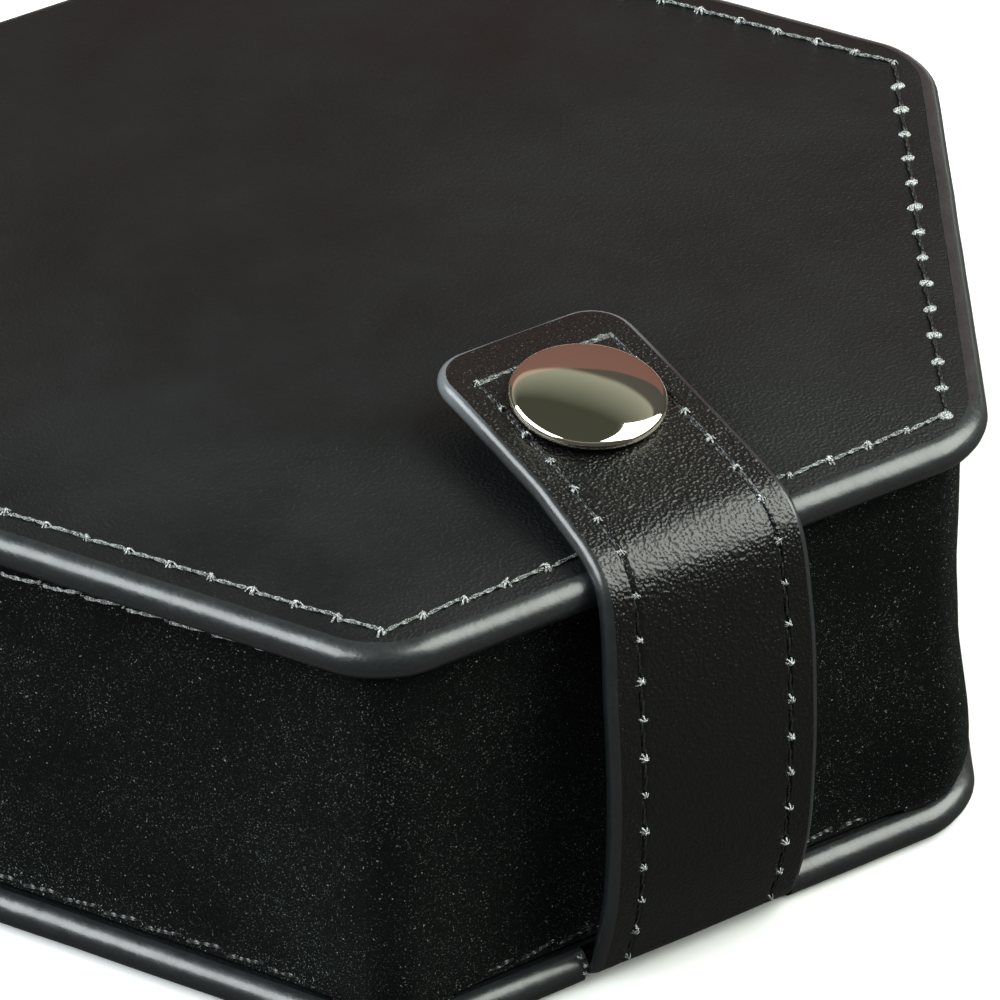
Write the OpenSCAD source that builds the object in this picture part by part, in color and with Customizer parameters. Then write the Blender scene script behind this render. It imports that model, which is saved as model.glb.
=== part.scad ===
// Hexagonal ring box: two stitched leather plates with painted edges, velvet walls,
// a leather spine hinge at the back and a strap with a press stud at the front.
// Origin: centre of the underside. +Z up, the strap faces -Y, the hinge is at +Y.

/* [Plates] */
// Distance across the flats of the lid and base plates
across_flats = 97.4; // [95:0.2:100]
// Corner radius of the plates, at the painted edge
corner_r = 8; // [6:0.5:9]
// Thickness of the lid plate and of the base plate
plate_t = 3.1; // [3:0.05:3.2]
// Thickness of one leather sheet
leather_t = 0.8; // [0.7:0.05:0.9]
// Height of the closed box, from the table to the top of the lid
box_h = 40.1; // [39.9:0.05:40.3]

/* [Walls] */
// How far the plates stand out past the velvet walls
overhang = 2.4; // [2.2:0.1:2.8]
// Thickness of the wall board
wall_t = 2; // [1.5:0.1:2.4]
// Thickness of the velvet, pile included
velvet_t = 0.8; // [0.6:0.05:0.9]
// Corner radius of the velvet walls
wall_corner_r = 4; // [3.5:0.5:5]
// Gap between the velvet rim and the closed lid
rim_gap = 0.1; // [0.05:0.05:0.3]

/* [Hinge] */
// Width of the leather spine at the back
spine_w = 47; // [44:0.5:47]
// How far the spine stands out past the plates' edges
spine_proud = 0.3; // [0.2:0.05:0.5]

/* [Strap] */
// Sideways place of the strap's middle
strap_x = -0.3; // [-1:0.1:1]
// Width of the strap at the foot of the box
strap_w = 19.4; // [18:0.1:20]
// Width of the strap at its free end
strap_tip_w = 18; // [17:0.1:19]
// Thickness of the strap
strap_t = 1.6; // [1.4:0.05:1.6]
// Corner radius of the strap's free end
strap_corner_r = 4; // [3:0.5:5]
// Thickness of the paint on the strap's cut edges
paint_t = 0.3; // [0.2:0.05:0.4]

/* [Stitching] */
// Length of one stitch
stitch_pitch = 3.7; // [3.4:0.1:4]
// Thickness of the thread
thread_d = 0.45; // [0.35:0.05:0.5]
// Distance of the lid's stitch row from the plate's edge
stitch_inset = 3.6; // [3.2:0.1:4]
// Distance of the strap's stitch rows from its side edges
strap_stitch_inset = 2.7; // [2.4:0.1:3.2]

/* [Press stud] */
// Diameter of the polished cap
cap_d = 12.5; // [12:0.1:13]
// Place of the press stud, front to back
snap_y = -33.8; // [-34.2:0.1:-33.4]
// Slope of the strap under the cap, in degrees
snap_tilt = 6; // [5:0.5:6.5]

/* [Ring holder] */
// Diameter of one ring roll
roll_d = 12.4; // [11.8:0.1:12.6]
// Distance between the middles of neighbouring rolls
roll_pitch = 13.8; // [13.4:0.1:13.8]
// Thickness of the pad under the lid
pad_t = 2.2; // [1.5:0.1:3]

/* [Hidden] */

$fn = 48;
far = 200;
leather_black = [0.17, 0.17, 0.18];
strap_black = [0.15, 0.16, 0.15];
paint_black = [0.25, 0.27, 0.27];
thread_black = [0.3, 0.3, 0.3];
velvet_black = [0.06, 0.07, 0.06];
board_grey = [0.55, 0.5, 0.45];
nickel = [0.8, 0.78, 0.72];

// Hexagon sizes, each given as the distance from the middle to a flat
apothem = across_flats / 2;
bead_r = plate_t / 2;
sheet_a = apothem - bead_r;
sheet_r = corner_r - bead_r;
stitch_a = apothem - stitch_inset;
velvet_a = apothem - overhang;
core_a = velvet_a - velvet_t;
lining_a = core_a - wall_t;
inside_a = lining_a - velvet_t;
corner_steps = 8;
bead_steps = 8;

// Heights
lid_z = box_h - plate_t;
rim_z = lid_z - rim_gap;
board_t = plate_t - 2 * leather_t;
rim_stitch_z = lid_z - 1.9;

// The leather bends down over the back edges from the plates' sheets to the spine
spine_y = apothem + spine_proud;
bend_r = spine_y - sheet_a;
crease_gap = 0.1;

// Outer surface of the strap as [y, z], from the foot of the box to the bend over the lid
front_path = [
    [-49.65, 0.85], [-50.2, 1.9], [-50.8, 3.6], [-51.4, 6.2], [-52.1, 10.5], [-52.5, 15],
    [-52.7, 21], [-52.4, 28], [-51.9, 33], [-51.4, 36.5], [-50.9, 38.6], [-50.45, 39.5]
];
// The strap is skived thin where it folds under the base
skived_t = 0.95;
skived_h = 6;
// Outer surface of the strap from the bend over the lid to its free end
tip_path = [
    [-50.35, 39.7], [-49.9, 40.5], [-48.9, 41.4], [-47.3, 42.1], [-44.5, 42.8], [-42, 43.27],
    [-39.3, 43.67], [-28.3, 44.83], [-25.5, 44.95], [-23.3, 44.95]
];
// The strap's end under the base, as a closed [y, z] outline
tail_end_y = -24;
tail_outline = [
    [tail_end_y, 0], [-47.6, 0], [-48.7, 0.2], [-49.5, 0.62], [-48.8, 1.1],
    [-48.45, leather_t], [tail_end_y, leather_t]
];
tail_w = strap_w - 0.4;
tail_clearance = 0.15;
tail_row_x = 7;
groove_w = 0.8;
groove_h = 0.5;
strap_bend_z = 45;
leather_share = 0.5;

// Press stud
snap_z = 44.25;
post_r = 1.5;
hole_clearance = 0.05;
rivet_flange_r = 4.5;
rivet_flange_t = 0.5;
stud_flange_r = 5.3;
stud_flange_t = 0.4;
stud_neck_r = 2;
stud_head_r = 2.3;
stud_head_z = 1.1;
stud_h = 1.65;
socket_flange_r = 5.2;
socket_flange_t = 0.5;
socket_r = 3.9;
socket_h = 1.5;
socket_bore_r = 2.9;
spring_wire_r = 0.15;

// Ring holder
insert_t = 1.5;
insert_a = inside_a - 0.4;
insert_z = plate_t + velvet_t;
roll_end_r = 2;
roll_wall_gap = 1.2;

// Outline of a rounded hexagon with its flats at +Y and -Y, from the back's left corner round
function hex_points(a, r) = [
    for (k = [2:7], i = [0:corner_steps])
        let (centre = (a - r) / cos(30), t = 60 * k - 30 + 60 * i / corner_steps)
        [centre * cos(60 * k) + r * cos(t), centre * sin(60 * k) + r * sin(t)]
];

// Direction in which the outline faces at each of those points
function hex_normals() = [
    for (k = [2:7], i = [0:corner_steps])
        let (t = 60 * k - 30 + 60 * i / corner_steps) [cos(t), sin(t)]
];

// Unit normal to the right of a path at point i
function path_normal(path, i) =
    let (
        a = path[max(i - 1, 0)],
        b = path[min(i + 1, len(path) - 1)],
        d = (b - a) / norm(b - a)
    ) [d[1], -d[0]];

// Strap thickness at a height above the table
function strap_thickness(z) =
    z > skived_h ? strap_t : skived_t + (strap_t - skived_t) * z / skived_h;

// The path moved inwards by a share of the strap's thickness
function inset_path(path, share) = [
    for (i = [0:len(path) - 1])
        path[i] + path_normal(path, i) * share * strap_thickness(path[i][1])
];

function reversed(v) = [for (i = [len(v) - 1:-1:0]) v[i]];

// Closed outline of one layer of the strap, between two shares of its thickness
function layer_outline(path, from, to) =
    concat(inset_path(path, from), reversed(inset_path(path, to)));

// Length of a path up to point i
function path_length(path, i) =
    i == 0 ? 0 : path_length(path, i - 1) + norm(path[i] - path[i - 1]);

// Point at distance s along a path
function path_point(path, s, i = 1) =
    let (d = norm(path[i] - path[i - 1]))
    (s <= d || i == len(path) - 1)
        ? path[i - 1] + (path[i] - path[i - 1]) * s / d
        : path_point(path, s - d, i + 1);

module hex_prism(a, r, z, h) {
    translate([0, 0, z])
        linear_extrude(h)
            polygon(hex_points(a, r));
}

module hex_ring(outer_a, outer_r, inner_a, inner_r, z, h) {
    translate([0, 0, z])
        linear_extrude(h)
            difference() {
                polygon(hex_points(outer_a, outer_r));
                polygon(hex_points(inner_a, inner_r));
            }
}

// A [y, z] outline drawn out along X, about the middle of the strap
module side_extrude(outline, w, x = 0) {
    translate([x - w / 2, 0, 0])
        rotate([90, 0, 90])
            linear_extrude(w)
                polygon(outline);
}

// One sheet of a plate
module plate_sheet(z, h) {
    hex_prism(sheet_a, sheet_r, z, h);
}

// Painted edge of a plate: a half-round bead round five sides, open at the spine
module edge_bead(z) {
    base = hex_points(sheet_a, sheet_r);
    normals = hex_normals();
    n = len(base);
    m = bead_steps + 1;
    points = [
        for (s = [0:n - 1], j = [0:bead_steps])
            let (phi = -90 + 180 * j / bead_steps, u = bead_r * cos(phi))
            [base[s][0] + u * normals[s][0], base[s][1] + u * normals[s][1],
             z + bead_r + bead_r * sin(phi)]
    ];
    sides = [
        for (s = [0:n - 2], j = [0:bead_steps])
            let (k = (j + 1) % m)
            [s * m + j, s * m + k, (s + 1) * m + k, (s + 1) * m + j]
    ];
    first_end = [for (j = [bead_steps:-1:0]) j];
    last_end = [for (j = [0:bead_steps]) (n - 1) * m + j];
    polyhedron(points, concat(sides, [first_end, last_end]));
}

// One stitch: a short thread from point a to point b
module stitch(a, b) {
    d = b - a;
    l = norm(d);
    middle = (a + b) / 2;
    run = l * 0.86;
    translate(middle)
        rotate([0, acos(d[2] / l), atan2(d[1], d[0])])
            cylinder(d = thread_d, h = run, center = true, $fn = 6);
}

// Stitches along the five sides of a hexagon, leaving out the back and the ends of each row
module hex_stitches(a, z, left_out = 0) {
    side = a / cos(30);
    count = floor(side / stitch_pitch);
    for (k = [2:6]) {
        p = side * [cos(60 * k), sin(60 * k)];
        q = side * [cos(60 * k + 60), sin(60 * k + 60)];
        for (i = [left_out:count - 1 - left_out]) {
            f = p + (q - p) * i / count;
            g = p + (q - p) * (i + 1) / count;
            stitch([f[0], f[1], z], [g[0], g[1], z]);
        }
    }
}

// Stitches along the outer surface of the strap, at one sideways place
module path_stitches(path, x, start, stop) {
    raised = inset_path(path, -thread_d / 2 / strap_t);
    count = floor((stop - start) / stitch_pitch);
    for (i = [0:count - 1]) {
        f = path_point(raised, start + i * stitch_pitch);
        g = path_point(raised, start + (i + 1) * stitch_pitch);
        stitch([x, f[0], f[1]], [x, g[0], g[1]]);
    }
}

// Plan of the strap's free end, pulled in by d
module tip_plan(d) {
    half_root = strap_w / 2 - d - 0.25;
    half_end = strap_tip_w / 2 - d;
    end_y = tip_path[len(tip_path) - 1][0] - d;
    r = strap_corner_r - d;
    arc = [for (i = [0:6]) [half_end - r + r * cos(15 * i), end_y - r + r * sin(15 * i)]];
    mirrored = [for (p = reversed(arc)) [-p[0], p[1]]];
    translate([strap_x, 0])
        polygon(concat([[half_root, -60]], arc, mirrored, [[-half_root, -60]]));
}

// Front view of the strap's lower part, pulled in by d
module front_plan(d) {
    half_foot = strap_w / 2 - d;
    half_top = half_foot - 0.2;
    polygon([[-half_foot, -1], [half_foot, -1], [half_top, strap_bend_z], [-half_top, strap_bend_z]]);
}

module tip_column(d) {
    translate([0, 0, 30])
        linear_extrude(30)
            tip_plan(d);
}

module front_column(d) {
    translate([strap_x, -40, 0])
        rotate([90, 0, 0])
            linear_extrude(20)
                front_plan(d);
}

// Local frame of the press stud's upper half, on the strap's outer surface
module at_snap() {
    translate([strap_x, snap_y, snap_z])
        rotate([snap_tilt, 0, 0])
            children();
}

module base_leather() {
    color(leather_black)
        difference() {
            plate_sheet(0, leather_t);
            translate([strap_x - tail_w / 2 - tail_clearance, -far, -1])
                cube([tail_w + 2 * tail_clearance, far + tail_end_y + tail_clearance, 5]);
        }
}

module base_board() {
    color(board_grey)
        plate_sheet(leather_t, board_t);
}

module base_inner_leather() {
    color(leather_black)
        plate_sheet(plate_t - leather_t, leather_t);
}

module base_edge_coat() {
    color(paint_black)
        difference() {
            edge_bead(0);
            translate([strap_x - strap_w / 2 - 0.2, -far, -1])
                cube([strap_w + 0.4, far, leather_t + 1.05]);
        }
}

module base_stitching() {
    color(thread_black)
        hex_stitches(velvet_a + thread_d / 2 + 0.05, plate_t + velvet_t + thread_d / 2);
}

module wall_core() {
    color(board_grey)
        hex_ring(core_a, wall_corner_r - velvet_t, lining_a, 1.6, plate_t, rim_z - velvet_t - plate_t);
}

module wall_velvet() {
    color(velvet_black)
        union() {
            hex_ring(velvet_a, wall_corner_r, core_a, wall_corner_r - velvet_t, plate_t, rim_z - plate_t);
            difference() {
                hex_ring(sheet_a - 0.1, sheet_r - 0.1, velvet_a - velvet_t / 2, wall_corner_r - velvet_t / 2,
                         plate_t, velvet_t);
                translate([-spine_w / 2, velvet_a, 0])
                    cube([spine_w, 5, 10]);
            }
            hex_ring(velvet_a, wall_corner_r, lining_a, 1.6, rim_z - velvet_t, velvet_t);
        }
}

module wall_lining() {
    color(velvet_black)
        hex_ring(lining_a, 1.6, inside_a, 0.8, insert_z, rim_z - velvet_t - insert_z);
}

module wall_rim_stitching() {
    color(thread_black)
        hex_stitches(velvet_a + thread_d / 2, rim_stitch_z, 1);
}

module floor_lining() {
    color(velvet_black)
        hex_prism(lining_a, 1.6, plate_t, velvet_t);
}

module insert_board() {
    color(velvet_black)
        hex_prism(insert_a, 0.6, insert_z, insert_t);
}

// One ring roll, as long as the box lets it be at its place
module ring_roll(index) {
    y = (index - 3.5) * roll_pitch;
    r = roll_d / 2;
    reach = abs(y) + r * 0.7;
    half = inside_a / cos(30) - reach * tan(30) - roll_wall_gap;
    arc = [for (i = [0:4]) [r - roll_end_r + roll_end_r * cos(22.5 * i), roll_end_r * sin(22.5 * i)]];
    upper = [for (p = arc) [p[0], half - roll_end_r + p[1]]];
    lower = [for (p = reversed(arc)) [p[0], -half + roll_end_r - p[1]]];
    color(velvet_black)
        translate([0, y, insert_z + insert_t + r])
            rotate([0, 90, 0])
                rotate_extrude()
                    polygon(concat([[0, -half]], lower, upper, [[0, half]]));
}

module ring_roll_1() { ring_roll(1); }
module ring_roll_2() { ring_roll(2); }
module ring_roll_3() { ring_roll(3); }
module ring_roll_4() { ring_roll(4); }
module ring_roll_5() { ring_roll(5); }
module ring_roll_6() { ring_roll(6); }

module strap_tail() {
    color(strap_black)
        difference() {
            side_extrude(tail_outline, tail_w, strap_x);
            for (side = [-1, 1])
                translate([strap_x + side * tail_row_x - groove_w / 2, -46.5, -1])
                    cube([groove_w, 20, 1 + groove_h]);
        }
}

module strap_tail_stitching() {
    z = groove_h - thread_d / 2;
    color(thread_black)
        for (side = [-1, 1], i = [0:4])
            stitch([strap_x + side * tail_row_x, -46.2 + i * stitch_pitch, z],
                   [strap_x + side * tail_row_x, -46.2 + (i + 1) * stitch_pitch, z]);
}

module spine_board() {
    color(board_grey)
        translate([-spine_w / 2, velvet_a, plate_t])
            cube([spine_w, spine_y - leather_t - velvet_a, lid_z - crease_gap - plate_t]);
}

// Quarter bend of a leather sheet about [sheet_a, z], between two angles
function bend_outline(z, from, to) = concat(
    [for (i = [0:6]) let (t = from + (to - from) * i / 6) [sheet_a + bend_r * cos(t), z + bend_r * sin(t)]],
    [for (i = [6:-1:0]) let (t = from + (to - from) * i / 6, r = bend_r - leather_t)
        [sheet_a + r * cos(t), z + r * sin(t)]]
);

module spine_leather() {
    color(leather_black)
        union() {
            side_extrude(bend_outline(bend_r, 0, -90), spine_w);
            translate([-spine_w / 2, spine_y - leather_t, bend_r])
                cube([spine_w, leather_t, lid_z - crease_gap - bend_r]);
        }
}

module spine_stitching() {
    y = spine_y + thread_d / 2;
    color(thread_black)
        for (side = [-1, 1], i = [0:7])
            stitch([side * (spine_w / 2 - stitch_inset), y, 3.4 + i * stitch_pitch],
                   [side * (spine_w / 2 - stitch_inset), y, 3.4 + (i + 1) * stitch_pitch]);
}

module stud_hole(r) {
    translate([strap_x, snap_y, lid_z - 1])
        cylinder(r = r, h = plate_t + 2);
}

module lid_leather() {
    color(leather_black)
        difference() {
            union() {
                plate_sheet(box_h - leather_t, leather_t);
                side_extrude(bend_outline(box_h - bend_r, 0, 90), spine_w);
            }
            stud_hole(post_r + hole_clearance);
        }
}

module lid_board() {
    color(board_grey)
        difference() {
            plate_sheet(lid_z + leather_t, board_t);
            stud_hole(post_r + hole_clearance);
            translate([strap_x, snap_y, lid_z + leather_t - 1])
                cylinder(r = rivet_flange_r + hole_clearance, h = 1 + rivet_flange_t);
        }
}

module lid_inner_leather() {
    color(leather_black)
        plate_sheet(lid_z, leather_t);
}

module lid_edge_coat() {
    color(paint_black)
        edge_bead(lid_z);
}

module lid_stitching() {
    color(thread_black)
        hex_stitches(stitch_a, box_h + thread_d / 2);
}

module lid_pad() {
    color(velvet_black)
        hex_prism(inside_a - 0.6, 2, lid_z - pad_t, pad_t);
}

// Lower half of the press stud: a hollow knob on a flange
module snap_stud() {
    bore_r = post_r + hole_clearance;
    color(nickel)
        translate([strap_x, snap_y, box_h])
            rotate_extrude()
                polygon([
                    [bore_r, 0], [stud_flange_r, 0], [stud_flange_r, stud_flange_t],
                    [stud_neck_r, stud_flange_t], [stud_neck_r, stud_head_z - 0.2],
                    [stud_head_r, stud_head_z], [stud_head_r, stud_h - 0.25],
                    [stud_head_r - 0.25, stud_h], [bore_r, stud_h]
                ]);
}

// Rivet that holds the stud, with its flange sunk into the underside of the lid's board
module snap_stud_rivet() {
    color(nickel)
        translate([strap_x, snap_y, lid_z + leather_t]) {
            cylinder(r = rivet_flange_r, h = rivet_flange_t);
            cylinder(r = post_r, h = board_t + leather_t + stud_h);
        }
}

module strap_front_leather() {
    color(strap_black)
        intersection() {
            side_extrude(layer_outline(front_path, 0, leather_share), strap_w + 2, strap_x);
            front_column(paint_t);
        }
}

module strap_front_lining() {
    color(strap_black)
        intersection() {
            side_extrude(layer_outline(front_path, leather_share, 1), strap_w + 2, strap_x);
            front_column(paint_t);
        }
}

module strap_front_edge_coat() {
    color(paint_black)
        intersection() {
            side_extrude(layer_outline(front_path, 0, 1), strap_w + 2, strap_x);
            difference() {
                front_column(0);
                front_column(paint_t);
            }
        }
}

module strap_front_stitching() {
    color(thread_black)
        for (side = [-1, 1])
            path_stitches(front_path, strap_x + side * (strap_w / 2 - strap_stitch_inset), 1.5, 39);
}

module post_hole() {
    at_snap()
        cylinder(r = post_r + hole_clearance, h = 10, center = true);
}

module strap_tip_leather() {
    color(strap_black)
        difference() {
            intersection() {
                side_extrude(layer_outline(tip_path, 0, leather_share), strap_w + 2, strap_x);
                tip_column(paint_t);
            }
            post_hole();
        }
}

module strap_tip_lining() {
    color(strap_black)
        difference() {
            intersection() {
                side_extrude(layer_outline(tip_path, leather_share, 1), strap_w + 2, strap_x);
                tip_column(paint_t);
            }
            post_hole();
        }
}

module strap_tip_edge_coat() {
    color(paint_black)
        intersection() {
            side_extrude(layer_outline(tip_path, 0, 1), strap_w + 2, strap_x);
            difference() {
                tip_column(0);
                tip_column(paint_t);
            }
        }
}

module strap_tip_stitching() {
    row_x = strap_tip_w / 2 - strap_stitch_inset;
    last = path_length(tip_path, len(tip_path) - 1) - strap_stitch_inset;
    raised = inset_path(tip_path, -thread_d / 2 / strap_t);
    p = path_point(raised, last + 0.2);
    color(thread_black) {
        for (side = [-1, 1])
            path_stitches(tip_path, strap_x + side * (row_x + 0.3), 0.5, last);
        for (i = [0:2])
            stitch([strap_x + (i - 1.5) * stitch_pitch, p[0], p[1]],
                   [strap_x + (i - 0.5) * stitch_pitch, p[0], p[1]]);
    }
}

// Polished domed cap with a rolled rim and the post that holds the upper half together
module snap_cap() {
    r = cap_d / 2;
    color(nickel)
        at_snap() {
            rotate_extrude()
                polygon([
                    [0, 0], [r - 1.5, 0], [r - 0.6, 0.2], [r - 0.15, 0.45], [r, 0.8],
                    [r - 0.12, 1.15], [r - 0.6, 1.42], [r - 1.7, 1.68], [r - 3.2, 1.88],
                    [r - 4.7, 1.98], [0, 2.02]
                ]);
            translate([0, 0, -strap_t - socket_flange_t])
                cylinder(r = post_r, h = strap_t + socket_flange_t);
        }
}

// Upper half of the press stud under the strap: a flange with a collar that takes the knob
module snap_socket() {
    color(nickel)
        at_snap()
            translate([0, 0, -strap_t])
                rotate_extrude()
                    polygon([
                        [post_r + hole_clearance, 0], [socket_flange_r, 0],
                        [socket_flange_r, -socket_flange_t], [socket_r, -socket_flange_t],
                        [socket_r, -socket_h], [socket_bore_r, -socket_h],
                        [socket_bore_r, -socket_flange_t], [post_r + hole_clearance, -socket_flange_t]
                    ]);
}

// Wire ring that grips the knob inside the collar
module snap_spring() {
    color(nickel)
        at_snap()
            translate([0, 0, -strap_t - 1.1])
                rotate_extrude()
                    translate([socket_bore_r - spring_wire_r, 0])
                        circle(r = spring_wire_r, $fn = 24);
}

base_leather();
base_board();
base_inner_leather();
base_edge_coat();
base_stitching();
wall_core();
wall_velvet();
wall_lining();
wall_rim_stitching();
floor_lining();
insert_board();
ring_roll_1();
ring_roll_2();
ring_roll_3();
ring_roll_4();
ring_roll_5();
ring_roll_6();
strap_tail();
strap_tail_stitching();
spine_board();
spine_leather();
spine_stitching();
lid_leather();
lid_board();
lid_inner_leather();
lid_edge_coat();
lid_stitching();
lid_pad();
snap_stud();
snap_stud_rivet();
strap_front_leather();
strap_front_lining();
strap_front_edge_coat();
strap_front_stitching();
strap_tip_leather();
strap_tip_lining();
strap_tip_edge_coat();
strap_tip_stitching();
snap_cap();
snap_socket();
snap_spring();
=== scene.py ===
"""Hexagonal ring box: black leather plates, velvet walls, a leather spine and a strap with a press stud."""

import math
import random

import bpy
from mathutils import Matrix, Vector, noise


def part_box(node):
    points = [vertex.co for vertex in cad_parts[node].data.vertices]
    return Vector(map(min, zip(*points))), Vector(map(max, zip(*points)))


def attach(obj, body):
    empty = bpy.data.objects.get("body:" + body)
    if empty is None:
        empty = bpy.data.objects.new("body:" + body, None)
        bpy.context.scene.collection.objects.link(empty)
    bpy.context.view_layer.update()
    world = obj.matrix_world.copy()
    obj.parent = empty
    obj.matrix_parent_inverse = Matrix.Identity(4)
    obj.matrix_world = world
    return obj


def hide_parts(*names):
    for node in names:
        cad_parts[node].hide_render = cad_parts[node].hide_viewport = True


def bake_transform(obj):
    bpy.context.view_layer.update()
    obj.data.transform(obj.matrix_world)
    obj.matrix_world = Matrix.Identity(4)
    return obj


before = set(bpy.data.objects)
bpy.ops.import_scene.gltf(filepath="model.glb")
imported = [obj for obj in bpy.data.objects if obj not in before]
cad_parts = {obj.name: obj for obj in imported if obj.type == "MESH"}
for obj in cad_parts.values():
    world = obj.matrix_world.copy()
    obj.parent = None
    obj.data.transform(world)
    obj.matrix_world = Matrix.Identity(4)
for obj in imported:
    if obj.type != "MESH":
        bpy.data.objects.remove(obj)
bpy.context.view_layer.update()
MM = 0.001
UP = Vector((0, 0, 1))

# ---------------------------------------------------------------- sizes from the frame
lid_low, lid_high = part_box("lid_edge_coat")
lid_low, lid_high = Vector(lid_low), Vector(lid_high)
LID_TOP = lid_high.z
LID_UNDER = lid_low.z
PLATE_T = LID_TOP - LID_UNDER
APOTHEM = -lid_low.y
BEAD = PLATE_T / 2
CORNER_R = 8 * MM
SHEET_A = APOTHEM - BEAD
SHEET_R = CORNER_R - BEAD
LEATHER_T = 0.8 * MM
SPINE_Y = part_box("spine_leather")[1][1]
BEND_R = SPINE_Y - SHEET_A
WALL_A = -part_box("wall_rim_stitching")[0][1] - 0.45 * MM
WALL_R = 4 * MM
RIM_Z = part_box("wall_velvet")[1][2]
INSIDE_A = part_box("wall_lining")[1][1] - LEATHER_T
THREAD_D = 0.45 * MM
STITCH_INSET = 3.6 * MM


# ---------------------------------------------------------------- camera
def add_camera():
    """Long lens, from the front left and above, framed close on the strap's side of the box."""
    azimuth, elevation, roll = (math.radians(a) for a in (-31.112, 36.178, -0.995))
    distance = 508.85 * MM
    target = Vector((-9.523, -35.5, 40.07)) * MM
    level = math.cos(elevation)
    back = Vector((math.sin(azimuth) * level, -math.cos(azimuth) * level, math.sin(elevation)))
    right = (-back).cross(UP).normalized()
    up = right.cross(-back)
    right_rolled = math.cos(roll) * right + math.sin(roll) * up
    up_rolled = -math.sin(roll) * right + math.cos(roll) * up
    camera = bpy.data.objects.new("camera", bpy.data.cameras.new("camera"))
    bpy.context.scene.collection.objects.link(camera)
    camera.data.lens = 235.08
    camera.data.sensor_width = 36
    camera.data.clip_end = 10
    turn = Matrix((right_rolled, up_rolled, back)).transposed().to_4x4()
    camera.matrix_world = Matrix.Translation(target + back * distance) @ turn
    bpy.context.scene.camera = camera


add_camera()


# ---------------------------------------------------------------- materials
def linear(code):
    """Linear colour from an sRGB hex code."""
    channels = [int(code[i:i + 2], 16) / 255 for i in (1, 3, 5)]
    return [c / 12.92 if c <= 0.04045 else ((c + 0.055) / 1.055) ** 2.4 for c in channels] + [1]


def add(tree, kind, inputs=None, **settings):
    """Adds a node with its settings, and sets or links its inputs."""
    node = tree.nodes.new(kind)
    for key, value in settings.items():
        setattr(node, key, value)
    for key, value in (inputs or {}).items():
        if isinstance(value, bpy.types.NodeSocket):
            tree.links.new(value, node.inputs[key])
        else:
            node.inputs[key].default_value = value
    return node


def new_material(name):
    """An empty material with a Principled shader, and its tree, shader and Object coordinates."""
    material = bpy.data.materials.new(name)
    material.use_nodes = True
    tree = material.node_tree
    shader = tree.nodes["Principled BSDF"]
    place = add(tree, "ShaderNodeTexCoord").outputs["Object"]
    return material, tree, shader, place


def noise_of(tree, place, size, detail=2.0, roughness=0.5):
    """Fractal noise whose features are about size metres across, from 0 to 1."""
    settings = {"Vector": place, "Scale": 1 / size, "Detail": detail, "Roughness": roughness}
    return add(tree, "ShaderNodeTexNoise", settings).outputs["Fac"]


def pebble_of(tree, place, size, feature="SMOOTH_F1"):
    """Pebbles of about size metres across, their place shaken so that no two are alike."""
    shake = add(tree, "ShaderNodeTexNoise", {"Vector": place, "Scale": 0.7 / size, "Detail": 2.0})
    half = add(tree, "ShaderNodeVectorMath", {0: shake.outputs["Color"], 1: (0.5, 0.5, 0.5)},
               operation="SUBTRACT")
    scaled = add(tree, "ShaderNodeVectorMath", {0: half.outputs[0], "Scale": 0.8 * size}, operation="SCALE")
    moved = add(tree, "ShaderNodeVectorMath", {0: place, 1: scaled.outputs[0]}, operation="ADD")
    settings = {"Vector": moved.outputs[0], "Scale": 1 / size}
    return add(tree, "ShaderNodeTexVoronoi", settings, feature=feature).outputs["Distance"]


def ramp(tree, value, low, high, start=0.0, stop=1.0):
    """Maps value from start..stop onto low..high, and holds it there."""
    settings = {"Value": value, "From Min": start, "From Max": stop, "To Min": low, "To Max": high}
    return add(tree, "ShaderNodeMapRange", settings).outputs["Result"]


def mix(tree, factor, a, b):
    """Blends two colours, each a hex string or a socket."""
    first, second = (linear(c) if isinstance(c, str) else c for c in (a, b))
    settings = {"Factor": factor, 6: first, 7: second}
    return add(tree, "ShaderNodeMix", settings, data_type="RGBA").outputs[2]


def bump(tree, height, distance, strength=1.0, under=None):
    """A bump normal from a height, on top of another if one is given."""
    settings = {"Height": height, "Distance": distance, "Strength": strength}
    if under is not None:
        settings["Normal"] = under
    return add(tree, "ShaderNodeBump", settings).outputs["Normal"]


def plate_leather():
    """Corrected-grain leather, plated smooth: satin black with a fine shallow grain."""
    material, tree, shader, place = new_material("leather_plate_satin")
    grain = pebble_of(tree, place, 0.27 * MM)
    pores = noise_of(tree, place, 0.11 * MM, 2, 0.6)
    cloud = noise_of(tree, place, 16 * MM, 4, 0.6)
    shader.inputs["IOR"].default_value = 1.48
    shader.inputs["Specular IOR Level"].default_value = 0.4
    colour = mix(tree, ramp(tree, cloud, 0, 1, 0.3, 0.7), "#06090a", "#0b0f10")
    tree.links.new(colour, shader.inputs["Base Color"])
    tree.links.new(ramp(tree, cloud, 0.4, 0.52, 0.3, 0.7), shader.inputs["Roughness"])
    under = bump(tree, pores, 0.012 * MM, 0.5)
    tree.links.new(bump(tree, grain, 0.07 * MM, 0.85, under), shader.inputs["Normal"])
    return material


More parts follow.
